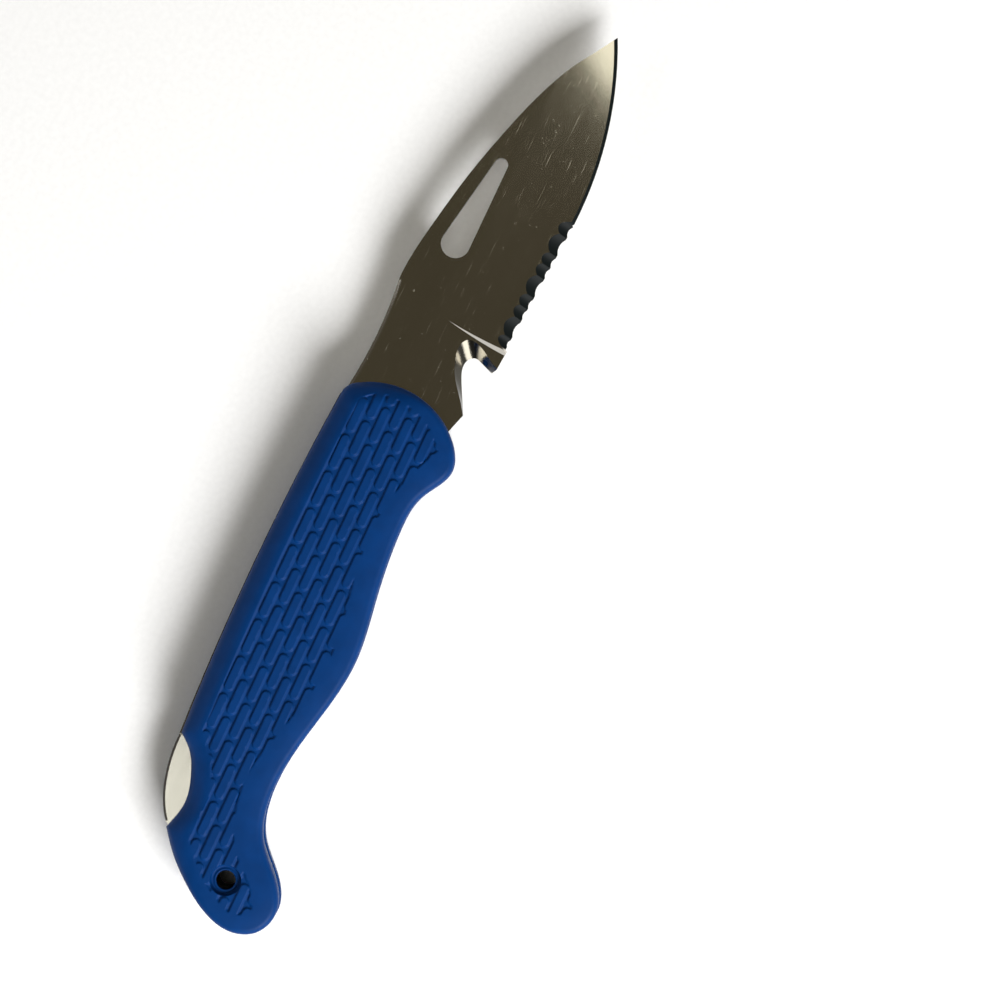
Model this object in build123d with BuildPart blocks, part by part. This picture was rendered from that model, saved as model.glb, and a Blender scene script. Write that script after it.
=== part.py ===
"""Lockback rigging knife, open.

Millimetres. The origin is the centre of the lanyard hole, half way through the handle.
+X runs along the handle towards the blade's tip, +Y towards the spine, +Z out of the front scale.
"""

import os
from math import cos, radians, sin, tan

from build123d import *

# ---------------------------------------------------------------- driving dimensions

BLADE_T = 2.5  # blade and lock bar thickness
SIDE_GAP = 0.15  # blade face to liner
LINER_T = 1.0
SCALE_T = 4.6
LINER_IN = BLADE_T / 2 + SIDE_GAP
LINER_OUT = LINER_IN + LINER_T
SCALE_TOP = LINER_OUT + SCALE_T
LINER_INSET = 0.35  # liner edge inside the scale's edge
FIELD_DEPTH = 0.45  # grip field below the scale's border

PIVOT = (91.8, 7.2)  # blade pivot
PIVOT_R = 2.5
TANG_R = 9.8  # rounded back of the tang
TANG_GAP = 0.1  # tang to lock bar

ROCKER = (57.0, 18.9)  # lock bar pivot
ROCKER_R = 1.5
PIN_CLEARANCE = 0.04  # radial, where something turns on a pin
SEAT_CLEARANCE = 0.02  # radial, where a pin sits in a fixed plate
HEAD_POCKET = 0.15  # room around a pin's head under the scale
PIN_HEAD_T = 0.5

SPRING_T = 1.0
SPRING_W = 2.4
SPRING_SEAT = (0.2, 6.6)  # bead at the spring's fixed end
SPRING_BEAD_R = 0.9

WASHER_R = 5.0
WASHER_GAP = 0.015  # on each face of a pivot washer

HOLE_R = 1.95  # lanyard hole
TUBE_R = 2.5
TUBE_HALF = 5.0  # half length of the lanyard tube
LIP_TOP = 5.6  # plastic lip over the tube's end
RECESS_R = 2.95

RIVETS = [(7.4, 4.4), (-5.2, -6.4)]
RIVET_R = 1.1
PEGS = [(26.0, 9.0), (50.0, 6.0), (74.0, 10.0)]  # moulded pegs of a scale
PEG_R = 1.5
PEG_END = LINER_IN + 0.1

SHOULDER = (97.6, 20.45)  # blade shoulder at the spine
SHOULDER_GAP = 0.08
SPINE_DIP, HUMP = (111.5, 19.36), (123.0, 20.05)  # on the spine, in front of the shoulder
TIP = (185.6, 1.1)
EDGE_MIDDLE = (170.0, -4.65)  # on the plain edge
EDGE_START = (147.55, -7.0)  # where the serrations begin
SERRATION_END = (119.35, -5.25)

SLOT_LEFT, SLOT_RIGHT = 134.35, 152.45  # centres of the shackle slot's round ends
SLOT_FLOOR = 9.92
SLOT_R_WIDE, SLOT_R_NARROW = 2.95, 1.4

GRIND_TOP = 7.4  # upper edge of the main grind, at the plunge line
PLUNGE_W = 1.0  # width of the plunge line's slope, at the edge
SPINE_BEVEL = (0.55, 0.3)  # width and depth of the bevel along the rear of the spine
RELEASE_BEVEL = (0.5, 0.5)  # the same, round the lock bar's release
RELEASE = [(5.0, 16.05), (8.0, 18.05), (13.0, 19.95), (18.0, 20.86), (22.0, 21.02)]
EDGE_HALF_T = 0.35  # half thickness that the main grind leaves at the edge
EDGE_BEVEL_ANGLE = 30.0

SERRATION_START = 121.5
SERRATION_WIDE, SERRATION_NARROW = 4.55, 2.43
SERRATION_TILT = 22.0  # of the grinding wheel, from the blade's face
SERRATION_TOP = (-2.75, -4.2)  # upper limit of the first and last hollow
SERRATION_HEIGHT = 2.2
SERRATION_BLUNTNESS = 1.4  # wheel radius over hollow width
NOTCH_LAND = 0.3  # blunt part of the rope notch, at the rear face

os.makedirs("parts", exist_ok=True)


# ---------------------------------------------------------------- shared outlines


def handle_face(inset=0.0):
    """Side view of the moulded handle, or the same shape moved in all round by inset."""
    spine = [(98.4, 20.65), (58.0, 21.92)]
    cutout = [(22.6, 20.6), (20.0, 17.6), (16.0, 15.4), (10.3, 14.05)]
    belly = [
        (4.3, 15.35), (0.0, 11.8), (-4.0, 7.1), (-7.9, 0.6), (-9.05, -4.4), (-7.0, -9.9), (-2.0, -11.9),
        (3.7, -9.4), (10.0, -3.6), (22.0, -0.87), (34.0, -2.55), (49.5, -4.8), (63.0, -3.15),
        (77.5, -1.7), (85.5, -2.75), (92.9, -6.03), (97.2, -4.3),
    ]
    front = [(100.2, -1.3), (103.6, 9.2)]
    brow = [(101.0, 18.2), (100.0, 19.7)]
    corners = [Vector(*point) for point in spine + cutout + belly + front + brow]
    points = []
    for i, corner in enumerate(corners):
        along = (corners[(i + 1) % len(corners)] - corners[i - 1]).normalized()
        points.append(corner + inset * Vector(-along.Y, along.X))
    cutout_at = len(spine)
    belly_at = cutout_at + len(cutout)
    front_at = belly_at + len(belly)
    brow_at = front_at + len(front)
    with BuildSketch() as profile:
        with BuildLine():
            ThreePointArc(points[: cutout_at + 1])
            Spline(points[cutout_at : belly_at + 1])
            Spline(points[belly_at : front_at + 1])
            ThreePointArc(points[front_at : brow_at + 1])
            Spline(points[brow_at:] + points[:1])
        make_face()
    return profile.sketch


def field_face():
    """Recessed grip field inside the scale's border."""
    with BuildSketch() as profile:
        with BuildLine():
            front_top, rear_top = (97.2, 16.8), (24.3, 16.7)
            tail_top, tail_low = (4.0, 9.6), (-3.2, -7.0)
            belly_rear, lobe_low = (14.5, 4.3), (94.7, -1.6)
            ThreePointArc(front_top, (58.0, 17.8), rear_top)
            Spline(rear_top, (21.0, 13.7), (16.0, 11.0), (10.0, 10.0), tail_top)
            Spline(tail_top, (-1.2, 4.6), (-5.0, -0.6), (-5.6, -4.6), tail_low)
            Spline(tail_low, (0.8, -5.0), (6.0, 0.6), belly_rear)
            Spline(
                belly_rear, (20.0, 5.0), (28.0, 3.7), (38.0, 1.1), (47.0, 0.0), (58.0, 1.2),
                (68.0, 2.9), (78.0, 3.4), (87.0, 1.6), lobe_low,
            )
            Spline(lobe_low, (98.4, 2.2), (100.2, 9.0), (99.4, 14.4), front_top)
        make_face()
    return profile.sketch


def pin(centre, radius, half_length, head_radius):
    """Peened pin across the handle, with a head outside each liner."""
    with BuildPart() as piece:
        with BuildSketch(Plane.XY.offset(-half_length)):
            with Locations(centre):
                Circle(radius)
        extrude(amount=2 * half_length)
        for side in (-1, 1):
            with BuildSketch(Plane.XY.offset(side * half_length)):
                with Locations(centre):
                    Circle(head_radius)
            extrude(amount=side * PIN_HEAD_T)
        rims = piece.edges().filter_by(GeomType.CIRCLE).group_by(Axis.Z)
        chamfer(rims[0] + rims[-1], PIN_HEAD_T * 0.5)
    return piece.part


def corner_bevels(line, width, depth):
    """Cutters that bevel both edges of a blade-thick plate which lies on the right of a line."""
    half = BLADE_T / 2
    along = line % 0
    with BuildPart() as cutter:
        with BuildSketch(Plane(origin=line @ 0, x_dir=Vector(along.Y, -along.X, 0), z_dir=along)):
            with BuildLine():
                Polyline(
                    (-width, -half + 2 * depth), (2 * width, -half - depth), (-width, -half - depth), close=True
                )
            make_face()
        sweep(path=line)
    return [cutter.part, mirror(cutter.part, about=Plane.XY, mode=Mode.PRIVATE)]


def save(part, name):
    part.label = name
    export_step(part, f"parts/{name}.step")


HANDLE = handle_face()
LINER = handle_face(LINER_INSET)
FIELD = field_face()
PIVOT_HEAD_R = PIVOT_R + 0.9
ROCKER_HEAD_R = ROCKER_R + 0.7
RIVET_HEAD_R = RIVET_R + 0.6


# ---------------------------------------------------------------- blade


def blade_blank():
    """Side view of the blade with its tang, before grinding."""
    heel, kick = (97.0, -1.1), (103.9, -3.2)
    tooth_x = PIVOT[0] + 0.9
    tooth_y = PIVOT[1] + (TANG_R**2 - 0.9**2) ** 0.5
    notch_floor = PIVOT[1] + 7.2
    barb_root, barb_tip = (115.25, -1.2), (113.95, -4.75)
    with BuildSketch() as profile:
        with BuildLine():
            ThreePointArc(SHOULDER, SPINE_DIP, HUMP)
            Spline(
                HUMP, (128.0, 19.87), (136.0, 18.68), (148.0, 16.35), (158.0, 13.72), (168.0, 10.5),
                (176.0, 6.95), TIP,
                tangents=[(1, 0.06), (0.87, -0.49)],
            )
            ThreePointArc(TIP, EDGE_MIDDLE, EDGE_START)
            Polyline(EDGE_START, SERRATION_END, (119.15, -5.68), (115.0, -5.35), barb_tip, barb_root)
            Spline(
                barb_root, (115.2, -0.3), (114.2, 0.75), (112.6, 1.0), (110.0, 0.08), (106.6, -1.72), kick,
            )
            Line(kick, heel)
            ThreePointArc(heel, (PIVOT[0] - TANG_R, PIVOT[1]), (tooth_x, tooth_y))
            Polyline((tooth_x, tooth_y), (tooth_x, notch_floor), (SHOULDER[0], notch_floor), SHOULDER)
        make_face()
        with Locations(PIVOT):
            Circle(PIVOT_R + PIN_CLEARANCE, mode=Mode.SUBTRACT)
    return profile.sketch


def shackle_slot():
    """Tapered key slot: two round ends joined by their common tangents."""
    with BuildSketch(Plane.XY.offset(-BLADE_T)) as slot:
        with Locations((SLOT_LEFT, SLOT_FLOOR + SLOT_R_WIDE)):
            Circle(SLOT_R_WIDE)
        with Locations((SLOT_RIGHT, SLOT_FLOOR + SLOT_R_NARROW)):
            Circle(SLOT_R_NARROW)
        make_hull()
    return slot.sketch


def main_grind():
    """Cutter for the front of the main grind: it thins the blade from the grind line to the edge."""
    half = BLADE_T / 2
    grind_line = Edge.make_line((112.0, GRIND_TOP - 0.15, half), (192.0, GRIND_TOP + 1.35, half))
    edge_line = Edge.make_spline(
        [
            Vector(112.0, -4.8, EDGE_HALF_T),
            Vector(132.0, -6.05, EDGE_HALF_T),
            Vector(*EDGE_START, EDGE_HALF_T),
            Vector(*EDGE_MIDDLE, EDGE_HALF_T),
            Vector(*TIP, EDGE_HALF_T),
            Vector(192.0, 4.9, EDGE_HALF_T),
        ]
    )
    below_edge = Edge.make_spline(
        [edge_line @ t + Vector(0, -3.0, -0.2) for t in (0, 0.2, 0.4, 0.6, 0.8, 1)]
    )
    with BuildPart() as cutter:
        upper = Face.make_surface_from_curves(grind_line, edge_line)
        lower = Face.make_surface_from_curves(edge_line, below_edge)
        extrude([upper, lower], amount=2.5, dir=(0, 0, 1))
        with BuildPart(mode=Mode.INTERSECT):
            for z in (-1.0, 3.0):
                shift = PLUNGE_W * (half - z) / (half - EDGE_HALF_T)
                with BuildSketch(Plane.XY.offset(z)):
                    with BuildLine():
                        ThreePointArc((119.9 + shift, 8.0), (118.9 + shift, 2.0), (118.1 + shift, -12.0))
                        Polyline((118.1 + shift, -12.0), (192.0, -12.0), (192.0, 8.9), (119.9 + shift, 8.0))
                    make_face()
            loft()
    return cutter.part


def edge_bevel():
    """Cutter for both sides of the plain edge: a V-shaped channel swept along the edge."""
    rise = 2.0 * tan(radians(EDGE_BEVEL_ANGLE))
    with BuildPart() as channel:
        with BuildLine() as path:
            ThreePointArc(EDGE_START, EDGE_MIDDLE, TIP)
        along = path.line % 0
        inwards = Vector(-along.Y, along.X, 0)
        with BuildSketch(Plane(origin=path.line @ 0, x_dir=inwards, z_dir=along)):
            with BuildLine():
                Polyline((2.0, rise), (0, 0), (2.0, -rise), (-1.0, -rise), (-1.0, rise), close=True)
            make_face()
        sweep()
    return channel.part


def serration(start_x, width):
    """One hollow of the serrated edge, ground from the front face down to the rear edge."""
    centre_x = start_x + width / 2
    along = (centre_x - SERRATION_START) / (EDGE_START[0] - SERRATION_START)
    top_y = SERRATION_TOP[0] + along * (SERRATION_TOP[1] - SERRATION_TOP[0])
    if width < SERRATION_WIDE:
        top_y -= 0.2
    top_z = EDGE_HALF_T + 0.07 * SERRATION_HEIGHT
    tilt = radians(SERRATION_TILT)
    radius = SERRATION_BLUNTNESS * width
    down = Vector(-0.12, -cos(tilt), -sin(tilt)).normalized()
    outwards = Vector(0, -sin(tilt), cos(tilt))
    wheel_start = Vector(centre_x + 0.35, top_y, top_z) + outwards * radius - down * 8
    with BuildPart() as wheel:
        with BuildSketch(Plane(origin=wheel_start, z_dir=down)):
            Circle(radius)
        extrude(amount=20)
    return wheel.part


def notch_grind():
    """Cutter for the hollow bevel that sharpens the rope notch and its barb, from the front."""
    with BuildPart() as cutter:
        with BuildSketch(Plane.XY.offset(-BLADE_T / 2 + NOTCH_LAND)):
            with BuildLine():
                Spline(
                    (103.9, -3.2), (106.6, -1.72), (110.0, 0.08), (112.6, 1.0), (114.2, 0.75),
                    (115.2, -0.3), (115.25, -1.2), (114.7, -3.0), (113.8, -5.1),
                )
                Polyline((113.8, -5.1), (113.8, -9.0), (103.9, -9.0), (103.9, -3.2))
            make_face()
        with BuildSketch(Plane.XY.offset(BLADE_T / 2)):
            with BuildLine():
                Spline(
                    (103.7, -3.2), (107.3, -0.6), (110.7, 1.9), (113.6, 3.1), (116.2, 3.4),
                    (118.0, 2.3), (118.1, 0.6), (117.0, -2.0), (115.1, -5.6),
                )
                Polyline((115.1, -5.6), (115.1, -9.0), (103.7, -9.0), (103.7, -3.2))
            make_face()
        loft()
    return cutter.part


with BuildPart() as blade:
    add(blade_blank())
    extrude(amount=BLADE_T / 2, both=True)
    extrude(to_extrude=shackle_slot(), amount=2 * BLADE_T, mode=Mode.SUBTRACT)
    front_grind = main_grind()
    add(front_grind, mode=Mode.SUBTRACT)
    add(mirror(front_grind, about=Plane.XY, mode=Mode.PRIVATE), mode=Mode.SUBTRACT)
    add(edge_bevel(), mode=Mode.SUBTRACT)
    with BuildLine(mode=Mode.PRIVATE) as spine:
        ThreePointArc(SHOULDER, SPINE_DIP, HUMP)
    add(corner_bevels(spine.line, *SPINE_BEVEL), mode=Mode.SUBTRACT)
    add(notch_grind(), mode=Mode.SUBTRACT)
    wide, narrow = SERRATION_WIDE, SERRATION_NARROW
    serration_x = SERRATION_START - 1.6
    for width in (1.6, wide, narrow, narrow, wide, narrow, narrow, wide, narrow):
        add(serration(serration_x, width), mode=Mode.SUBTRACT)
        serration_x += width

save(blade.part, "blade")


# ---------------------------------------------------------------- lock bar and its spring


def lock_bar_face():
    """Side view of the lock bar: release at the tail, hook over the tang at the front."""
    land_y = 14.92
    reach = TANG_R + TANG_GAP
    front_low, front_top = (SHOULDER[0] - 0.3, 15.4), (SHOULDER[0] - SHOULDER_GAP, 20.92)
    front_low_y = PIVOT[1] + (reach**2 - (front_low[0] - PIVOT[0]) ** 2) ** 0.5
    land_end_x = PIVOT[0] - (reach**2 - (land_y - PIVOT[1]) ** 2) ** 0.5
    release_low = (5.3, 13.4)
    with BuildSketch() as profile:
        with BuildLine():
            ThreePointArc(front_top, (58.0, 22.17), RELEASE[-1])
            Spline(RELEASE)
            Polyline(RELEASE[0], (4.7, 15.4), (4.75, 13.9), release_low)
            Spline(release_low, (14.0, 12.9), (22.0, 13.8), (31.0, 16.6), tangents=[(1, -0.1), (1, 0)])
            Polyline((31.0, 16.6), (71.5, 16.6), (73.5, land_y), (land_end_x, land_y))
            ThreePointArc((land_end_x, land_y), (PIVOT[0], PIVOT[1] + reach), (front_low[0], front_low_y))
            Polyline((front_low[0], front_low_y), front_top)
        make_face()
        with Locations(ROCKER):
            Circle(ROCKER_R + PIN_CLEARANCE, mode=Mode.SUBTRACT)
    return profile.sketch


with BuildPart() as lock_bar:
    add(lock_bar_face())
    extrude(amount=BLADE_T / 2, both=True)
    with BuildLine(mode=Mode.PRIVATE) as release:
        Spline(RELEASE)
    add(corner_bevels(release.line, *RELEASE_BEVEL), mode=Mode.SUBTRACT)

save(lock_bar.part, "lock_bar")


def spring_line():
    """Centre line of the leaf spring, from its seat in the tail spacer to its tip."""
    return [SPRING_SEAT, (5.0, 6.5), (12.0, 6.9), (21.0, 9.6), (30.0, 13.8), (36.0, 15.9), (38.5, 15.7)]


with BuildPart() as lock_spring:
    with BuildSketch(Plane.XY.offset(-SPRING_W / 2)):
        with BuildLine() as centre_line:
            Spline(spring_line())
        trace(centre_line.line, SPRING_T)
        with Locations(SPRING_SEAT):
            Circle(SPRING_BEAD_R)
    extrude(amount=SPRING_W)

save(lock_spring.part, "lock_spring")


# ---------------------------------------------------------------- tail spacer


with BuildPart() as tail_spacer:
    with BuildSketch(Plane.XY.offset(-LINER_IN)):
        add(LINER)
        with BuildLine():
            tip_path_r = 94.6
            low_x = PIVOT[0] - (tip_path_r**2 - (PIVOT[1] + 14.0) ** 2) ** 0.5
            high_x = PIVOT[0] - (tip_path_r**2 - (PIVOT[1] + 7.1) ** 2) ** 0.5
            middle_x = PIVOT[0] - (tip_path_r**2 - (PIVOT[1] + 10.5) ** 2) ** 0.5
            ThreePointArc((low_x, -14.0), (middle_x, -10.5), (high_x, -7.1))
            Spline((high_x, -7.1), (3.3, -2.75), (8.0, -0.1), (13.5, 2.7))
            Polyline(
                (13.5, 2.7), (13.5, 8.2), (4.2, 9.3), (4.2, 18.0), (-14.0, 18.0), (-14.0, -14.0),
                (low_x, -14.0),
            )
        make_face(mode=Mode.INTERSECT)
        with BuildLine() as slot_line:
            Spline(spring_line())
        trace(slot_line.line, SPRING_T + 2 * SEAT_CLEARANCE, mode=Mode.SUBTRACT)
        with Locations(SPRING_SEAT):
            Circle(SPRING_BEAD_R + SEAT_CLEARANCE, mode=Mode.SUBTRACT)
        Circle(TUBE_R + SEAT_CLEARANCE, mode=Mode.SUBTRACT)
        with Locations(RIVETS):
            Circle(RIVET_R + SEAT_CLEARANCE, mode=Mode.SUBTRACT)
    extrude(amount=2 * LINER_IN)

save(tail_spacer.part, "tail_spacer")


# ---------------------------------------------------------------- liners

with BuildPart() as front_liner:
    with BuildSketch(Plane.XY.offset(LINER_IN)):
        add(LINER)
        Circle(TUBE_R + SEAT_CLEARANCE, mode=Mode.SUBTRACT)
        with Locations(PIVOT):
            Circle(PIVOT_R + SEAT_CLEARANCE, mode=Mode.SUBTRACT)
        with Locations(ROCKER):
            Circle(ROCKER_R + SEAT_CLEARANCE, mode=Mode.SUBTRACT)
        with Locations(RIVETS):
            Circle(RIVET_R + SEAT_CLEARANCE, mode=Mode.SUBTRACT)
        with Locations(PEGS):
            Circle(PEG_R + SEAT_CLEARANCE, mode=Mode.SUBTRACT)
    extrude(amount=LINER_T)

save(front_liner.part, "front_liner")
save(mirror(front_liner.part, about=Plane.XY), "rear_liner")


# ---------------------------------------------------------------- moulded scales

with BuildPart() as front_scale:
    with BuildSketch(Plane.XY.offset(LINER_OUT)):
        add(HANDLE)
    extrude(amount=SCALE_T)
    with BuildSketch(Plane.XY.offset(SCALE_TOP)):
        add(FIELD)
    extrude(amount=-FIELD_DEPTH, mode=Mode.SUBTRACT)
    with BuildSketch(Plane.XY.offset(LIP_TOP)):
        Circle(RECESS_R)
    extrude(amount=SCALE_T, mode=Mode.SUBTRACT)
    with BuildSketch(Plane.XY.offset(LINER_OUT)):
        Circle(HOLE_R)
    extrude(amount=SCALE_T, mode=Mode.SUBTRACT)
    with BuildSketch(Plane.XY.offset(LINER_OUT)):
        Circle(TUBE_R + SEAT_CLEARANCE)
    extrude(amount=TUBE_HALF - LINER_OUT, mode=Mode.SUBTRACT)
    with BuildSketch(Plane.XY.offset(LINER_OUT)):
        with Locations(PIVOT):
            Circle(PIVOT_HEAD_R + HEAD_POCKET)
        with Locations(ROCKER):
            Circle(ROCKER_HEAD_R + HEAD_POCKET)
        with Locations(RIVETS):
            Circle(RIVET_HEAD_R + HEAD_POCKET)
    extrude(amount=PIN_HEAD_T + HEAD_POCKET, mode=Mode.SUBTRACT)
    with BuildSketch(Plane.XY.offset(PEG_END)):
        with Locations(PEGS):
            Circle(PEG_R)
    extrude(amount=LINER_OUT - PEG_END)

save(front_scale.part, "front_scale")
save(mirror(front_scale.part, about=Plane.XY), "rear_scale")


# ---------------------------------------------------------------- pins, washers, tube

save(pin(PIVOT, PIVOT_R, LINER_OUT, PIVOT_HEAD_R), "blade_pivot_pin")
save(pin(ROCKER, ROCKER_R, LINER_OUT, ROCKER_HEAD_R), "lock_bar_pin")
rivets = Compound(children=[pin(centre, RIVET_R, LINER_OUT, RIVET_HEAD_R) for centre in RIVETS])
save(rivets, "tail_rivets")

with BuildPart() as front_washer:
    with BuildSketch(Plane.XY.offset(BLADE_T / 2 + WASHER_GAP)):
        with Locations(PIVOT):
            Circle(WASHER_R)
            Circle(PIVOT_R + PIN_CLEARANCE, mode=Mode.SUBTRACT)
    extrude(amount=SIDE_GAP - 2 * WASHER_GAP)

save(front_washer.part, "front_pivot_washer")
save(mirror(front_washer.part, about=Plane.XY), "rear_pivot_washer")

with BuildPart() as lanyard_tube:
    with BuildSketch(Plane.XY.offset(-TUBE_HALF)):
        Circle(TUBE_R)
        Circle(HOLE_R, mode=Mode.SUBTRACT)
    extrude(amount=2 * TUBE_HALF)

save(lanyard_tube.part, "lanyard_tube")
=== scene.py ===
"""Looks of the lockback rigging knife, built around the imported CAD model."""

import math

import bpy
import numpy as np
from mathutils import Matrix, Vector
from mathutils.geometry import delaunay_2d_cdt, tessellate_polygon
from mathutils.kdtree import KDTree


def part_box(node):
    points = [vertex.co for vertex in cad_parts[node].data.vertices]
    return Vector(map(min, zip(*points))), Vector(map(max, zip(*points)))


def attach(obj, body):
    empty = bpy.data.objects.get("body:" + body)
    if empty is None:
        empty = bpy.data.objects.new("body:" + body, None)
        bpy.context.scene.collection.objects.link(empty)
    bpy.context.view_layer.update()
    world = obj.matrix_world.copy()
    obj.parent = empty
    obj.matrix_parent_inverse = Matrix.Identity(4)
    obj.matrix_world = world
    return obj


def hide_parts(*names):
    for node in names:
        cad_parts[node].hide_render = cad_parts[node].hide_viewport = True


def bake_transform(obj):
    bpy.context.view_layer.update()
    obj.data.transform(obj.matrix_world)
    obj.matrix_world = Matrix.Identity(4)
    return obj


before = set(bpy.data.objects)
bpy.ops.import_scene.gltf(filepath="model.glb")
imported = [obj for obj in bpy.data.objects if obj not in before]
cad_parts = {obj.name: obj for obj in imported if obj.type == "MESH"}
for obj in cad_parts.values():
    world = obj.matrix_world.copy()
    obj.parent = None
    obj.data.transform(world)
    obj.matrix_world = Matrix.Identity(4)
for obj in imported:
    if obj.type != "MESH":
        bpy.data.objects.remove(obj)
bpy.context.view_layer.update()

MM = 0.001

# ---------------------------------------------------------------- driving dimensions, millimetres

SCALE_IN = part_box("front_liner")[1].z / MM
SCALE_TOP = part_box("front_scale")[1].z / MM

BORDER_W = 3.9  # sloped border round the grip field
BELLY_DROP, SPINE_DROP = 0.45, 2.4  # how far the border falls towards the outline
SPINE_FROM, SPINE_TO = 3.0, 14.0  # heights between which the one changes into the other
BORDER_SOFT = 1.6  # width over which the slope sets in
SPREAD_CELL, SPREAD_REACH = 0.5, 2  # cell and half width, in cells, of the slope's averaging
EDGE_R = 1.2  # final round at the outline
FOOT_R = 0.25  # small round where the scale meets the liner

BRICK_L, BRICK_H = 7.1, 1.62
BRICK_PITCH_X, BRICK_PITCH_Y = 8.13, 2.5
BRICK_ROW_Y = 0.86  # centre of row 0, in which one brick starts at BRICK_START_X
BRICK_START_X = 18.2
LOW_ROW, TOP_ROW = -4, 6  # first row towards the belly, last row towards the spine
BRICKS_BEHIND, BRICKS_IN_ROW = 4, 14  # bricks towards the tail from BRICK_START_X, and in all
GROOVE_DEPTH = 0.36
GROOVE_WALL = 0.24
FIELD_WALL = 0.3

HOLE_R = 1.95
LIP_R = 2.3
RECESS_R = 2.95
RECESS_FLOOR, LIP_TOP = 5.45, 5.6
RECESS_WALL = (RECESS_R + 0.22, RECESS_R - 0.1)  # top and foot of the recess's sloping wall
LIP_WALL = (LIP_R + 0.13, LIP_R - 0.1)  # foot and top of the lip's outside
LIP_BREAK, LIP_BREAK_W = 0.08, 0.1  # broken edge at the mouth of the hole
BORE_RING = 0.5  # depth of the ring of points that keeps the broken edge's shading crisp

SPRING_LINE = [(0.2, 6.6), (5.0, 6.5), (12.0, 6.9), (21.0, 9.6), (30.0, 13.8), (36.0, 15.9), (38.5, 15.7)]
SPRING_T, SPRING_HALF_W, SPRING_BEAD_R = 1.0, 1.2, 0.9

EDGE_GRIND_X, EDGE_GRIND_Y = 119.4, 8.0  # the ground edge lies in front of this and below this
PLUNGE_X = 118.0  # rearmost point of the plunge line
RELEASE_END = 22.3  # the lock bar shows behind this, where it is painted dark as shade
PLASTIC_BLUE = (0.0003, 0.03, 0.138)
# painted shade: the ground edge near black, and the notch hollow and other slanted faces much darker than
# the blade
EDGE_PAINTED_SHADE, NOTCH_PAINTED_SHADE = (0.004, 0.006, 0.006), (0.065, 0.061, 0.05)
# painted shade for the lock bar's upright edges and for the lock bar past the release
PAINTED_SHADE_STEEL = (0.05, 0.045, 0.04)

GRID = 0.22  # spacing of the surface points in the grip field
OUTLINE_STEP = 0.45  # and along the outlines
HOLE_RINGS = (HOLE_R, 2.0, 2.22, LIP_R, 2.42, 2.8, 2.9, RECESS_R, 3.02, 3.15, 3.35)
HOLE_POINTS = 72  # on each ring of points around the lanyard hole
BRICK_SIDE_POINTS, BRICK_END_POINTS = 28, 11
BEAD_POINTS = 20
WELD = 1e-7  # points closer than this are one
SHARP_ANGLE = 62  # degrees, shading breaks at edges that turn by more

# ---------------------------------------------------------------- curves


def spline(points, step=OUTLINE_STEP):
    """Smooth curve through points (natural cubic over chord length), sampled about every step."""
    p = np.array(points, float)
    t = np.concatenate([[0], np.cumsum(np.hypot(*np.diff(p, axis=0).T))])
    n, h = len(p), np.diff(t)
    system, right = np.eye(n), np.zeros((n, 2))
    for i in range(1, n - 1):
        system[i, i - 1 : i + 2] = h[i - 1], 2 * (h[i - 1] + h[i]), h[i]
        right[i] = 6 * ((p[i + 1] - p[i]) / h[i] - (p[i] - p[i - 1]) / h[i - 1])
    bend = np.linalg.solve(system, right)
    at = np.linspace(0, t[-1], max(2, round(t[-1] / step) + 1))
    k = np.clip(np.searchsorted(t, at, side="right") - 1, 0, n - 2)
    a, b, hk = (t[k + 1] - at)[:, None], (at - t[k])[:, None], h[k][:, None]
    return (
        (bend[k] * a**3 + bend[k + 1] * b**3) / (6 * hk)
        + (p[k] / hk - bend[k] * hk / 6) * a
        + (p[k + 1] / hk - bend[k + 1] * hk / 6) * b
    )


def arc(start, middle, end, step=OUTLINE_STEP):
    """Circular arc through three points."""
    (ax, ay), (bx, by), (cx, cy) = start, middle, end
    d = 2 * (ax * (by - cy) + bx * (cy - ay) + cx * (ay - by))
    sa, sb, sc = ax * ax + ay * ay, bx * bx + by * by, cx * cx + cy * cy
    ux = (sa * (by - cy) + sb * (cy - ay) + sc * (ay - by)) / d
    uy = (sa * (cx - bx) + sb * (ax - cx) + sc * (bx - ax)) / d
    r = math.hypot(ax - ux, ay - uy)
    a0, a1, a2 = (math.atan2(y - uy, x - ux) for x, y in (start, middle, end))
    turn = (a2 - a0) % (2 * math.pi)
    if (a1 - a0) % (2 * math.pi) > turn:
        turn -= 2 * math.pi
    angles = a0 + np.linspace(0, turn, max(2, round(abs(turn) * r / step) + 1))
    return np.stack([ux + r * np.cos(angles), uy + r * np.sin(angles)], 1)


def joined(*runs):
    """Closed loop from runs that start where the one before ends."""
    return np.concatenate([run[:-1] for run in runs])


def circle(radius):
    a = np.arange(HOLE_POINTS) * 2 * math.pi / HOLE_POINTS
    return np.stack([radius * np.cos(a), radius * np.sin(a)], 1)


def handle_outline():
    """Side view of the moulded handle, counter-clockwise."""
    front_top, chin, brow = (98.4, 20.65), (100.2, -1.3), (101.0, 18.2)
    cutout_front, cutout_rear = (22.6, 20.6), (4.3, 15.35)
    return joined(
        arc(front_top, (58.0, 21.92), cutout_front),
        spline([cutout_front, (20.0, 17.6), (16.0, 15.4), (10.3, 14.05), cutout_rear]),
        spline([
            cutout_rear, (0.0, 11.8), (-4.0, 7.1), (-7.9, 0.6), (-9.05, -4.4), (-7.0, -9.9),
            (-2.0, -11.9), (3.7, -9.4), (10.0, -3.6), (22.0, -0.87), (34.0, -2.55), (49.5, -4.8),
            (63.0, -3.15), (77.5, -1.7), (85.5, -2.75), (92.9, -6.03), (97.2, -4.3), chin,
        ]),
        arc(chin, (103.6, 9.2), brow),
        spline([brow, (100.0, 19.7), front_top]),
    )


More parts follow.
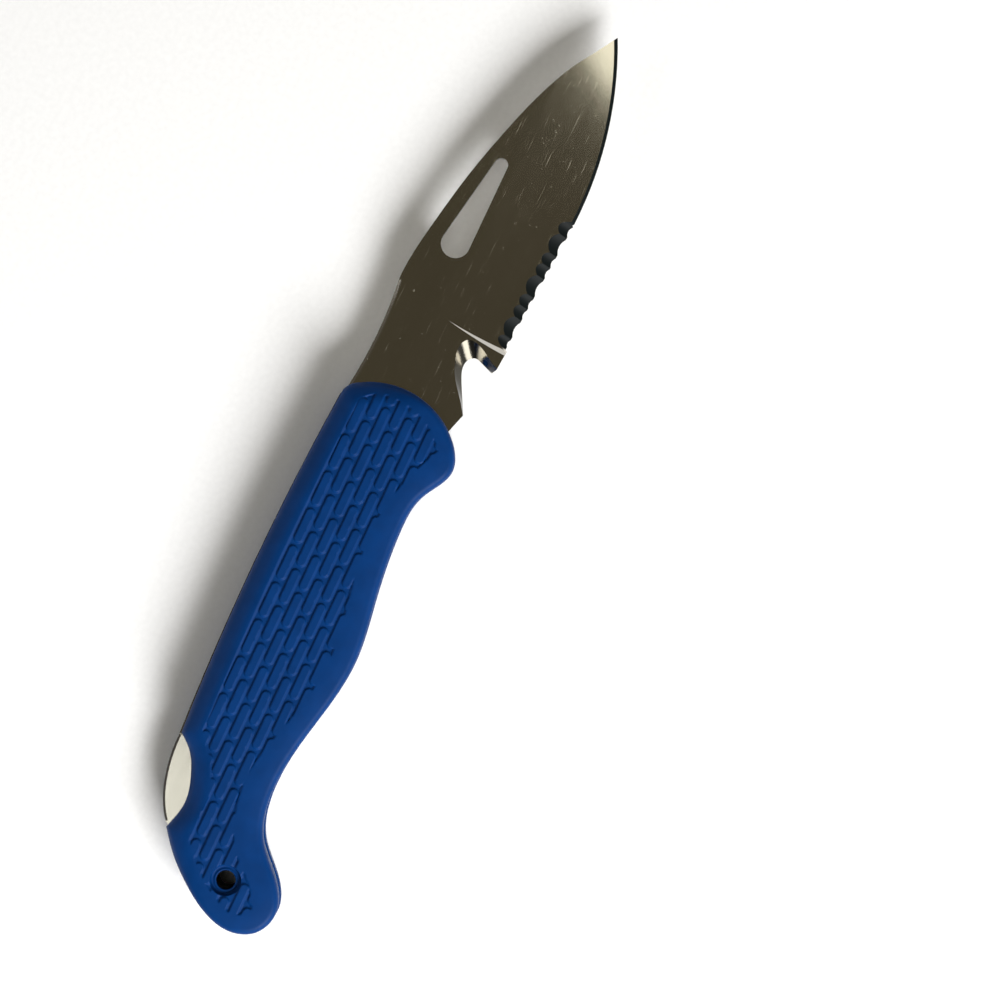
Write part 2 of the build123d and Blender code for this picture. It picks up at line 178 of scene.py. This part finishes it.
def field_outline():
    """Edge of the brick-patterned grip field, counter-clockwise."""
    front_top, rear_top = (98.0, 16.9), (24.3, 16.8)
    tail_top, tail_low = (4.0, 9.9), (-2.9, -7.2)
    belly_rear, lobe_low = (14.5, 4.3), (95.4, -1.9)
    return joined(
        arc(front_top, (58.0, 17.5), rear_top),
        spline([rear_top, (21.2, 13.7), (16.5, 11.1), (10.5, 10.2), tail_top]),
        spline([tail_top, (-1.2, 4.9), (-4.6, -0.6), (-5.5, -4.6), tail_low]),
        spline([tail_low, (0.8, -5.0), (6.0, 0.4), belly_rear]),
        spline([
            belly_rear, (20.0, 4.9), (28.0, 3.7), (38.0, 1.1), (47.0, -0.1), (58.0, 1.0),
            (68.0, 2.8), (78.0, 3.3), (87.0, 1.5), lobe_low,
        ]),
        spline([lobe_low, (98.9, 2.0), (101.1, 9.0), (100.3, 14.4), front_top]),
    )


def inward_normals(loop):
    """Unit vector to the left of a closed loop's direction, at each of its points."""
    tangent = np.roll(loop, -1, axis=0) - np.roll(loop, 1, axis=0)
    return np.stack([-tangent[:, 1], tangent[:, 0]], 1) / np.hypot(*tangent.T)[:, None]


def point_tree(points):
    tree = KDTree(len(points))
    for i, (x, y) in enumerate(points):
        tree.insert((x, y, 0), i)
    tree.balance()
    return tree


def distance(points, loop):
    """Distance from each point to a closed loop, positive inside it."""
    tree = point_tree(loop)
    nearest = np.array([tree.find((x, y, 0))[1] for x, y in points])
    gap = np.full(len(points), np.inf)
    for side in (-1, 0):
        a, b = loop[(nearest + side) % len(loop)], loop[(nearest + side + 1) % len(loop)]
        t = np.clip(((points - a) * (b - a)).sum(1) / ((b - a) ** 2).sum(1), 0, 1)
        gap = np.minimum(gap, np.hypot(*(a + t[:, None] * (b - a) - points).T))
    crossings = np.zeros(len(points), int)
    x, y = points.T
    for (ax, ay), (bx, by) in zip(loop, np.roll(loop, -1, axis=0)):
        if ay != by:
            crossings += ((ay > y) != (by > y)) & (x < ax + (y - ay) * (bx - ax) / (by - ay))
    return np.where(crossings % 2 == 1, gap, -gap)


def smoothstep(low, high, value):
    t = np.clip((value - low) / (high - low), 0, 1)
    return t * t * (3 - 2 * t)


# ---------------------------------------------------------------- moulded scale

OUTLINE = handle_outline()
FIELD = field_outline()


def groove(points, from_field_edge):
    """0 on the bricks and the border, 1 on the floor of the grooves between bricks."""
    row = np.minimum(np.round((points[:, 1] - BRICK_ROW_Y) / BRICK_PITCH_Y), TOP_ROW)
    dy = points[:, 1] - BRICK_ROW_Y - row * BRICK_PITCH_Y
    shift = np.where(row % 2 == 0, 0.0, BRICK_PITCH_X / 2)
    dx = (points[:, 0] - BRICK_START_X - BRICK_L / 2 - shift) % BRICK_PITCH_X
    dx = np.minimum(dx, BRICK_PITCH_X - dx)
    radius = BRICK_H / 2
    away = np.hypot(np.maximum(dx - (BRICK_L / 2 - radius), 0), dy) - radius
    return smoothstep(0, GROOVE_WALL, away) * smoothstep(0, FIELD_WALL, from_field_edge)


def brick_loops():
    """Points along the top, the middle and the foot of each brick's wall, inside the field."""
    half, radius = BRICK_L / 2, BRICK_H / 2
    straight = np.linspace(-(half - radius), half - radius, BRICK_SIDE_POINTS)
    turn = np.linspace(-math.pi / 2, math.pi / 2, BRICK_END_POINTS + 2)[1:-1]
    rings = []
    for grow in (0, GROOVE_WALL / 2, GROOVE_WALL):
        r = radius + grow
        end = np.stack([half - radius + r * np.cos(turn), r * np.sin(turn)], 1)
        side = np.stack([straight, np.full(len(straight), r)], 1)
        rings += [side, side * (1, -1), end, end * (-1, 1)]
    brick = np.concatenate(rings)
    bricks = []
    for row in range(LOW_ROW, TOP_ROW + 1):
        first = BRICK_START_X + half + BRICK_PITCH_X / 2 * (row % 2) - BRICKS_BEHIND * BRICK_PITCH_X
        for column in range(BRICKS_IN_ROW):
            bricks.append(brick + (first + column * BRICK_PITCH_X, BRICK_ROW_Y + row * BRICK_PITCH_Y))
    points = np.concatenate(bricks)
    return points[distance(points, FIELD) > 0.02]


def without_neighbours(points, taken, gap):
    """Points that keep a gap from every taken point."""
    tree = point_tree(taken)
    return np.array([p for p in points if tree.find((p[0], p[1], 0))[2] > gap])


def border_fall(points, inside):
    """How far the border slopes down at each point, before its final round."""
    fall = np.clip(BORDER_W - inside, 0, None)
    slope = np.where(fall < BORDER_SOFT, fall**2 / (2 * BORDER_SOFT), fall - BORDER_SOFT / 2)
    slope /= BORDER_W - BORDER_SOFT / 2
    spine = smoothstep(SPINE_FROM, SPINE_TO, points[:, 1])
    return slope * (BELLY_DROP + (SPINE_DROP - BELLY_DROP) * spine)


def soft_border_fall(points):
    """The border's slope, averaged over a small area so that it has no creases at corners."""
    margin = 3
    lo, hi = OUTLINE.min(0) - margin, OUTLINE.max(0) + margin
    count = np.ceil((hi - lo) / SPREAD_CELL).astype(int)
    lines = [lo[axis] + SPREAD_CELL * np.arange(count[axis]) for axis in (0, 1)]
    cells = np.stack(np.meshgrid(*lines, indexing="ij"), -1).reshape(-1, 2)
    fall = border_fall(cells, distance(cells, OUTLINE)).reshape(count)
    window = range(-SPREAD_REACH, SPREAD_REACH + 1)
    for axis in (0, 1, 0, 1):
        fall = sum(np.roll(fall, k, axis) for k in window) / len(window)
    at = (points - lo) / SPREAD_CELL
    i, j = at.astype(int).T
    u, v = (at - at.astype(int)).T
    return (
        fall[i, j] * (1 - u) * (1 - v) + fall[i + 1, j] * u * (1 - v)
        + fall[i, j + 1] * (1 - u) * v + fall[i + 1, j + 1] * u * v
    )


def border_height(points, inside):
    """Surface height of the border: level, then a slope, then a round edge."""
    near = np.clip(1 - inside / EDGE_R, 0, 1)
    return SCALE_TOP - soft_border_fall(points) - EDGE_R * (1 - np.sqrt(1 - near**2))


def off_hole(points, faces):
    """Faces whose middle lies outside the lanyard hole."""
    points, faces = np.array([tuple(point) for point in points]), np.array(faces)
    return faces[np.hypot(*points[faces].mean(1).T) > HOLE_R * 0.999]


def scale_surface():
    """Points and triangles of the scale's outer surface."""
    loops = [OUTLINE]
    for turn in np.radians(range(8, 81, 12)):
        inset = EDGE_R * (1 - math.cos(turn))
        ring = OUTLINE + inward_normals(OUTLINE) * inset
        keep = np.abs(distance(ring, OUTLINE) - inset) < 0.01
        loops.append(ring[keep])
    hole_start = sum(map(len, loops))
    loops += [circle(r) for r in HOLE_RINGS]
    lo, hi = OUTLINE.min(0), OUTLINE.max(0)
    lines = (np.arange(lo[axis], hi[axis], GRID) for axis in (0, 1))
    grid = np.stack(np.meshgrid(*lines), -1).reshape(-1, 2)
    free = (distance(grid, OUTLINE) > EDGE_R * 0.95) & (np.hypot(*grid.T) > HOLE_RINGS[-1] + GRID * 0.7)
    bricks = brick_loops()
    bricks = bricks[np.hypot(*bricks.T) > HOLE_RINGS[-1] + 0.1]
    grid = without_neighbours(grid[free], bricks, GRID * 0.6)
    points = np.concatenate(loops + [bricks, grid])
    edges = []
    for start, count in ((0, len(OUTLINE)), (hole_start, HOLE_POINTS)):
        edges += [(start + i, start + (i + 1) % count) for i in range(count)]
    verts, _, faces, *_ = delaunay_2d_cdt([Vector(p) for p in points], edges, [], 1, WELD)
    return np.array([tuple(v) for v in verts]), off_hole(verts, faces)


def scale_heights(verts):
    """Height of the outer surface over each point."""
    inside = distance(verts, OUTLINE)
    z = border_height(verts, np.maximum(inside, 0))
    z -= GROOVE_DEPTH * groove(verts, distance(verts, FIELD))
    r = np.hypot(*verts.T)
    z += (RECESS_FLOOR - z) * smoothstep(*RECESS_WALL, r)
    z += (LIP_TOP - z) * smoothstep(*LIP_WALL, r)
    into_break = HOLE_R + LIP_BREAK_W - r
    return np.where(into_break > 0, LIP_TOP - LIP_BREAK * into_break / LIP_BREAK_W, z)


def wall(verts, polys, ring, lower_rings, inner=False):
    """Adds rings of points below a closed ring, joined by quads, and returns the lowest ring."""
    count = len(ring)
    for points in lower_rings:
        below = list(range(len(verts), len(verts) + count))
        verts += points
        for i in range(count):
            after = (i + 1) % count
            quad = (ring[i], below[i], below[after], ring[after])
            polys.append(quad[::-1] if inner else quad)
        ring = below
    return ring


def underside(verts, foot, mouth):
    """Flat faces between the foot of the side wall and the lower end of the bore."""
    loop = foot + mouth
    edges = [(i, (i + 1) % len(foot)) for i in range(len(foot))]
    edges += [(len(foot) + i, len(foot) + (i + 1) % len(mouth)) for i in range(len(mouth))]
    flat_loop = [Vector(verts[i][:2]) for i in loop]
    points, _, faces, origins, *_ = delaunay_2d_cdt(flat_loop, edges, [], 1, WELD)
    return [tuple(loop[origins[i][0]] for i in face[::-1]) for face in off_hole(points, faces)]


def scale_mesh():
    """Closed moulded scale: outer surface, side wall, bore wall and flat underside."""
    flat, faces = scale_surface()
    heights = scale_heights(flat)
    rim = len(OUTLINE)
    verts = [(x, y, z) for (x, y), z in zip(flat, heights)]
    polys = [tuple(f) for f in faces]

    side_height = heights[:rim].min() - SCALE_IN
    levels = [(SCALE_IN + side_height * part, 0.0) for part in (0.66, 0.33)]
    levels += [(SCALE_IN + FOOT_R, 0.0), (SCALE_IN + FOOT_R * 0.3, FOOT_R * 0.3), (SCALE_IN, FOOT_R)]
    inward = inward_normals(OUTLINE)
    side = [[(x, y, z) for x, y in OUTLINE + inward * inset] for z, inset in levels]
    foot = wall(verts, polys, list(range(rim)), side)

    bore = [i for i, point in enumerate(flat) if abs(math.hypot(*point) - HOLE_R) < 1e-4]
    bore.sort(key=lambda i: math.atan2(flat[i][1], flat[i][0]))
    rings = [[(flat[i][0], flat[i][1], z) for i in bore] for z in (LIP_TOP - BORE_RING, SCALE_IN)]
    mouth = wall(verts, polys, bore, rings, inner=True)

    return verts, polys + underside(verts, foot, mouth)


# ---------------------------------------------------------------- leaf spring


def spring_outline():
    """Side view of the leaf spring with the bead at its fixed end, counter-clockwise."""
    line = spline(SPRING_LINE)
    seat = line[0]
    along = np.gradient(line, axis=0)
    across = np.stack([-along[:, 1], along[:, 0]], 1) / np.hypot(*along.T)[:, None] * SPRING_T / 2
    leaf = np.hypot(*(line - seat).T) > SPRING_BEAD_R
    opening = math.asin(SPRING_T / 2 / SPRING_BEAD_R)
    heading = math.atan2(along[0][1], along[0][0])
    turn = heading + np.linspace(opening, 2 * math.pi - opening, BEAD_POINTS)
    bead = seat + SPRING_BEAD_R * np.stack([np.cos(turn), np.sin(turn)], 1)
    return np.concatenate([bead, (line - across)[leaf], (line + across)[leaf][::-1]])


def prism(outline, half_width):
    """Closed plate between two levels with a given side view."""
    count = len(outline)
    verts = [(x, y, z) for z in (-half_width, half_width) for x, y in outline]
    caps = tessellate_polygon([[Vector((x, y, 0)) for x, y in outline]])
    polys = [(i, (i + 1) % count, (i + 1) % count + count, i + count) for i in range(count)]
    for a, b, c in caps:
        (ax, ay), (bx, by), (cx, cy) = outline[a], outline[b], outline[c]
        if (bx - ax) * (cy - ay) < (cx - ax) * (by - ay):
            b, c = c, b  # every cap triangle runs counter-clockwise
        polys += [(a + count, b + count, c + count), (c, b, a)]
    return verts, polys


def sharpen(piece, degrees):
    """Marks edges that turn by more than an angle as sharp."""
    mesh = piece.data
    sharp = np.zeros(len(mesh.edges), bool)
    faces_of = {}
    for poly in mesh.polygons:
        for key in poly.edge_keys:
            faces_of.setdefault(key, []).append(poly.index)
    limit = math.cos(math.radians(degrees))
    for edge in mesh.edges:
        pair = faces_of.get(tuple(sorted(edge.vertices)), [])
        if len(pair) == 2 and mesh.polygons[pair[0]].normal.dot(mesh.polygons[pair[1]].normal) < limit:
            sharp[edge.index] = True
    mesh.attributes.new("sharp_edge", "BOOLEAN", "EDGE").data.foreach_set("value", sharp)


def add_piece(name, verts, polys, material, node, slot):
    """Smooth piece that stands in for a CAD node, with its edges sharp beyond a limit."""
    mesh = bpy.data.meshes.new(name)
    mesh.from_pydata([Vector(v) * MM for v in verts], [], polys)
    mesh.validate()
    mesh.polygons.foreach_set("use_smooth", [True] * len(mesh.polygons))
    mesh.update()
    piece = bpy.data.objects.new(name, mesh)
    bpy.context.scene.collection.objects.link(piece)
    mesh.materials.append(material)
    sharpen(piece, SHARP_ANGLE)
    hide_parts(node)
    return piece


# ---------------------------------------------------------------- materials


def material(name, color, metallic=0.0, roughness=0.5, specular=0.5):
    """New material, with its node tree and its shader."""
    mat = bpy.data.materials.new(name)
    mat.use_nodes = True
    shader = mat.node_tree.nodes["Principled BSDF"]
    shader.inputs["Base Color"].default_value = (*color, 1)
    shader.inputs["Metallic"].default_value = metallic
    shader.inputs["Roughness"].default_value = roughness
    shader.inputs["Specular IOR Level"].default_value = specular
    return mat, mat.node_tree, shader


def noise(tree, scale, stretch=(1, 1, 1), detail=4.0, roughness=0.5):
    """Noise over the object's own coordinates, in metres, with scale in cycles per metre."""
    where = tree.nodes.new("ShaderNodeTexCoord")
    mapping = tree.nodes.new("ShaderNodeMapping")
    mapping.inputs["Scale"].default_value = stretch
    texture = tree.nodes.new("ShaderNodeTexNoise")
    texture.inputs["Scale"].default_value = scale
    texture.inputs["Detail"].default_value = detail
    texture.inputs["Roughness"].default_value = roughness
    tree.links.new(where.outputs["Object"], mapping.inputs["Vector"])
    tree.links.new(mapping.outputs["Vector"], texture.inputs["Vector"])
    return texture.outputs["Fac"]


def ramp(tree, value, stops):
    """Colour that follows a value through stops of position and colour."""
    node = tree.nodes.new("ShaderNodeValToRGB")
    elements = node.color_ramp.elements
    while len(elements) < len(stops):
        elements.new(0.5)
    for element, (position, color) in zip(elements, stops):
        element.position = position
        element.color = (*color, 1)
    tree.links.new(value, node.inputs["Fac"])
    return node.outputs["Color"]


def bump(tree, shader, height, strength, depth, below=None):
    """Bump on the shader, over an earlier one when that is given."""
    node = tree.nodes.new("ShaderNodeBump")
    node.inputs["Strength"].default_value = strength
    node.inputs["Distance"].default_value = depth
    tree.links.new(height, node.inputs["Height"])
    if below is not None:
        tree.links.new(below, node.inputs["Normal"])
    tree.links.new(node.outputs["Normal"], shader.inputs["Normal"])
    return node.outputs["Normal"]


def grey(value):
    return (value, value, value)


def mixed(tree, amount, below, above):
    """Colour that goes from below to above with the amount."""
    node = tree.nodes.new("ShaderNodeMix")
    node.data_type = "RGBA"
    tree.links.new(amount, node.inputs["Factor"])
    for socket, value in ((node.inputs["A"], below), (node.inputs["B"], above)):
        if isinstance(value, tuple):
            socket.default_value = (*value, 1)
        else:
            tree.links.new(value, socket)
    return node.outputs["Result"]


def times(tree, first, second):
    """Product of two values, which is 1 only where both are."""
    node = tree.nodes.new("ShaderNodeMath")
    node.operation = "MULTIPLY"
    tree.links.new(first, node.inputs[0])
    tree.links.new(second, node.inputs[1])
    return node.outputs[0]


def coordinate(tree, output, axis):
    """One axis of the object's own position or normal."""
    where = tree.nodes.new("ShaderNodeTexCoord")
    split = tree.nodes.new("ShaderNodeSeparateXYZ")
    tree.links.new(where.outputs[output], split.inputs["Vector"])
    return split.outputs[axis]


def rising(tree, value, low, high, metres=True):
    """0 below low and 1 above high, or the other way round when high is the smaller."""
    node = tree.nodes.new("ShaderNodeMapRange")
    unit = MM if metres else 1
    node.inputs["From Min"].default_value = low * unit
    node.inputs["From Max"].default_value = high * unit
    tree.links.new(value, node.inputs["Value"])
    return node.outputs["Result"]


def facing(tree):
    """1 where a face looks straight along the knife's thickness, 0 where it stands upright."""
    node = tree.nodes.new("ShaderNodeMath")
    node.operation = "ABSOLUTE"
    tree.links.new(coordinate(tree, "Normal", "Z"), node.inputs[0])
    return node.outputs[0]


def blue_plastic():
    """Moulded nylon: faint mottling, fine grain, a few matt scuffs."""
    mat, tree, shader = material("blue_plastic", PLASTIC_BLUE, roughness=0.48, specular=0.08)
    mottle = noise(tree, 260, detail=5)
    darker, lighter = (tuple(c * f for c in PLASTIC_BLUE) for f in (0.9, 1.08))
    tree.links.new(ramp(tree, mottle, [(0.3, darker), (0.7, lighter)]), shader.inputs["Base Color"])
    cloud = noise(tree, 700, detail=6, roughness=0.7)
    gloss = ramp(tree, cloud, [(0.35, grey(0.42)), (0.7, grey(0.55))])
    tree.links.new(gloss, shader.inputs["Roughness"])
    grain = bump(tree, shader, noise(tree, 6000, detail=3), 0.3, 0.00002)
    bump(tree, shader, noise(tree, 1500, detail=2), 0.25, 0.00003, grain)
    return mat


def slanted(tree):
    """1 on faces cut at an angle to the blade's side, 0 on its sides, its spine and the plunge line."""
    steep = rising(tree, facing(tree), 0.98, 0.955, metres=False)
    downward = rising(tree, coordinate(tree, "Normal", "Y"), 0.3, 0.0, metres=False)
    forward = rising(tree, coordinate(tree, "Normal", "X"), 0.52, 0.62, metres=False)
    plunge = times(tree, forward, rising(tree, coordinate(tree, "Object", "X"), PLUNGE_X, PLUNGE_X + 0.05))
    return mixed(tree, plunge, times(tree, steep, downward), grey(0))


def steel(name, color, roughness, along=(0.04, 1, 1), scratch=0.12):
    """Steel with fine scratches along one direction, smudges, grain and a few pits."""
    mat, tree, shader = material(name, color, metallic=1.0, roughness=roughness)
    tint = ramp(tree, noise(tree, 90, (0.4, 1, 1), detail=5), [
        (0.3, tuple(0.96 * c for c in color)), (0.7, tuple(min(1.0, 1.03 * c) for c in color)),
    ])
    worn = ramp(tree, noise(tree, 4200, along, detail=1), [(0.68, grey(0)), (0.78, grey(0.6))])
    look = mixed(tree, worn, tint, tuple(min(1.0, 1.4 * c) for c in color))
    tree.links.new(look, shader.inputs["Base Color"])
    gloss = ramp(tree, noise(tree, 420, (0.15, 1, 1), detail=6, roughness=0.7), [
        (0.3, grey(roughness * 0.92)), (0.75, grey(roughness * 1.1)),
    ])
    gloss = mixed(tree, worn, gloss, grey(0.3))
    tree.links.new(gloss, shader.inputs["Roughness"])
    pits = ramp(tree, noise(tree, 1500, detail=2), [(0.24, grey(0)), (0.29, grey(1))])
    lines = bump(tree, shader, noise(tree, 5200, along, detail=3, roughness=0.6), scratch, 0.000004)
    grain = bump(tree, shader, noise(tree, 4500, detail=2, roughness=0.6), 0.3, 0.000005, lines)
    bump(tree, shader, pits, 0.5, 0.00001, grain)
    return mat, tree, shader, look, gloss


def blade_steel():
    """Satin blade with painted shade on its ground edge and on the hollow of the rope notch, which is also
    duller.
    """
    mat, tree, shader, look, gloss = steel("blade_finish_and_painted_shade", (0.62, 0.59, 0.53), 0.11)
    cut = slanted(tree)
    low = rising(tree, coordinate(tree, "Object", "Y"), EDGE_GRIND_Y + 0.1, EDGE_GRIND_Y)
    ahead = rising(tree, coordinate(tree, "Object", "X"), EDGE_GRIND_X, EDGE_GRIND_X + 0.1)
    edge = times(tree, times(tree, cut, low), ahead)
    # painted shade: slanted faces such as the notch hollow get a much darker steel colour
    look = mixed(tree, cut, look, NOTCH_PAINTED_SHADE)
    gloss = mixed(tree, cut, gloss, grey(0.2))
    # painted shade: the ground edge is painted near black and not metallic, a painted dark reflection
    tree.links.new(mixed(tree, edge, look, EDGE_PAINTED_SHADE), shader.inputs["Base Color"])
    tree.links.new(mixed(tree, edge, gloss, grey(0.5)), shader.inputs["Roughness"])
    tree.links.new(mixed(tree, edge, grey(1), grey(0)), shader.inputs["Metallic"])
    shader.inputs["Specular IOR Level"].default_value = 0.08
    return mat


def lock_steel():
    """Brushed release, with painted shade on its upright edges and on the lock bar behind the scales."""
    brushed = {"along": (1, 0.05, 1), "scratch": 0.3}
    mat, tree, shader, look, _ = steel("lock_finish_and_painted_shade", (0.66, 0.65, 0.6), 0.25, **brushed)
    # painted shade: upright faces of the release and lock bar are painted near black
    sides = rising(tree, facing(tree), 0.97, 0.9, metres=False)
    # painted shade: the lock bar that shows past the release along the spine is painted near black
    painted_shade_past_release = rising(tree, coordinate(tree, "Object", "X"), RELEASE_END - 0.5, RELEASE_END)
    look = mixed(tree, sides, look, PAINTED_SHADE_STEEL)
    tree.links.new(mixed(tree, painted_shade_past_release, look, PAINTED_SHADE_STEEL), shader.inputs["Base Color"])
    return mat


def plain_finish(name, color, metallic, roughness):
    """Turned or rolled small part, or black moulded plastic."""
    mat, tree, shader = material(name, color, metallic=metallic, roughness=roughness)
    shade = ramp(tree, noise(tree, 600, detail=4), [(0.3, tuple(0.85 * c for c in color)), (0.7, color)])
    tree.links.new(shade, shader.inputs["Base Color"])
    gloss = ramp(tree, noise(tree, 900, detail=5), [
        (0.3, grey(roughness * 0.8)), (0.7, grey(min(1.0, roughness * 1.2))),
    ])
    tree.links.new(gloss, shader.inputs["Roughness"])
    bump(tree, shader, noise(tree, 4000, detail=3), 0.2, 0.00001)
    return mat


# ---------------------------------------------------------------- pieces

PLASTIC = blue_plastic()
scale_verts, scale_polys = scale_mesh()
front_grip = add_piece("front_grip", scale_verts, scale_polys, PLASTIC, "front_scale", "scale_plastic")
rear_grip = add_piece(
    "rear_grip",
    [(x, y, -z) for x, y, z in scale_verts],
    [tuple(reversed(poly)) for poly in scale_polys],
    PLASTIC,
    "rear_scale",
    "scale_plastic",
)
for grip in (front_grip, rear_grip):
    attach(grip, "handle")

SPRING_STEEL = steel("spring_finish", (0.4, 0.4, 0.39), 0.35)[0]
spring = add_piece(
    "leaf_spring", *prism(spring_outline(), SPRING_HALF_W), SPRING_STEEL, "lock_spring", "spring_steel"
)
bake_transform(spring)

# the blade and lock bar finishes also carry painted shade
FINISHES = {
    "blade": blade_steel(),
    "lock_bar": lock_steel(),
    "front_liner": steel("liner_finish", (0.5, 0.5, 0.48), 0.35)[0],
    "lanyard_tube": plain_finish("tube_finish", (0.02, 0.02, 0.022), 1.0, 0.5),
    "tail_spacer": plain_finish("spacer_finish", (0.012, 0.012, 0.014), 0.0, 0.55),
    "blade_pivot_pin": plain_finish("pin_finish", (0.6, 0.59, 0.56), 1.0, 0.3),
    "front_pivot_washer": plain_finish("washer_finish", (0.55, 0.36, 0.16), 1.0, 0.3),
}
SAME_AS = {
    "rear_liner": "front_liner", "rear_pivot_washer": "front_pivot_washer",
    "lock_bar_pin": "blade_pivot_pin", "tail_rivets": "blade_pivot_pin",
}
for name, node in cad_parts.items():
    finish = FINISHES.get(SAME_AS.get(name, name))
    if finish:
        node.data.materials.clear()
        node.data.materials.append(finish)

# ---------------------------------------------------------------- floor, light, camera

FLOOR_GAP = 0.05  # millimetres between the floor and the knife, so that they share no plane
FLOOR_Z = -(SCALE_TOP + FLOOR_GAP) * MM
FLOOR_HALF = 3.0

CENTRE = Vector((91.7, -17.1, 2.0)) * MM  # middle of the picture
IMAGE_RIGHT = Vector((0.4268, -0.9044, 0))
IMAGE_UP = Vector((0.9044, 0.4268, 0))
SENSOR = 36.0
VIEW_WIDTH = 0.2
VIEW_DISTANCE = 0.8
GLOW_HEIGHT = 0.75  # of the two weak panels that the blade and the release reflect


def rect_light(name, place, target, size, energy, color=(1, 1, 1)):
    data = bpy.data.lights.new(name, "AREA")
    data.shape = "RECTANGLE"
    data.size, data.size_y = size
    data.energy = energy
    data.color = color
    lamp = bpy.data.objects.new(name, data)
    lamp.location = place
    lamp.rotation_euler = (Vector(target) - Vector(place)).to_track_quat("-Z", "Y").to_euler()
    bpy.context.scene.collection.objects.link(lamp)


def floor():
    mesh = bpy.data.meshes.new("floor")
    corners = [(x * FLOOR_HALF, y * FLOOR_HALF, 0) for x, y in ((-1, -1), (1, -1), (1, 1), (-1, 1))]
    mesh.from_pydata(corners, [], [(0, 1, 2, 3)])
    plane = bpy.data.objects.new("floor", mesh)
    plane.location = (0, 0, FLOOR_Z)
    bpy.context.scene.collection.objects.link(plane)
    mat, tree, shader = material("floor_paper", (0.92, 0.92, 0.92), roughness=0.8, specular=0.1)
    fibres = ramp(tree, noise(tree, 900, detail=4), [(0.3, grey(0.9)), (0.7, grey(0.94))])
    tree.links.new(fibres, shader.inputs["Base Color"])
    mesh.materials.append(mat)


def studio_sky():
    """Dark studio overhead with a pale band low down all round."""
    world = bpy.data.worlds.new("studio")
    world.use_nodes = True
    tree = world.node_tree
    where = tree.nodes.new("ShaderNodeTexCoord")
    split = tree.nodes.new("ShaderNodeSeparateXYZ")
    tree.links.new(where.outputs["Generated"], split.inputs["Vector"])
    shade = ramp(tree, split.outputs["Z"], [
        (0.0, grey(1.0)), (0.2, grey(0.75)), (0.42, (0.1, 0.09, 0.075)), (1.0, (0.07, 0.06, 0.038)),
    ])
    background = tree.nodes["Background"]
    tree.links.new(shade, background.inputs["Color"])
    background.inputs["Strength"].default_value = 1.0
    bpy.context.scene.world = world


def camera():
    data = bpy.data.cameras.new("camera")
    data.sensor_width = SENSOR
    data.lens = SENSOR * VIEW_DISTANCE / VIEW_WIDTH
    data.clip_start, data.clip_end = 0.05, 20
    cam = bpy.data.objects.new("camera", data)
    turn = Matrix((IMAGE_RIGHT, IMAGE_UP, Vector((0, 0, 1)))).transposed()
    cam.matrix_world = Matrix.Translation(CENTRE + Vector((0, 0, VIEW_DISTANCE))) @ turn.to_4x4()
    bpy.context.scene.collection.objects.link(cam)
    bpy.context.scene.camera = cam


floor()
studio_sky()
camera()
rect_light("key", CENTRE + Vector((-0.46, -0.62, 0.62)), CENTRE, (0.55, 0.55), 17)
rect_light("fill", CENTRE + Vector((-0.23, 0.9, 0.58)), CENTRE, (0.35, 0.35), 1.3)
for name, x, y, size, energy, color in (
    ("tip_glow", 0.397, -0.09, (0.22, 0.34), 0.34, (1.0, 0.98, 0.82)),
    ("tail_glow", -0.11, 0.06, (0.18, 0.2), 0.22, (1.0, 0.99, 0.92)),
):
    rect_light(name, (x, y, GLOW_HEIGHT), (x, y, 0), size, energy, color)
bpy.context.scene.view_settings.view_transform = "Standard"
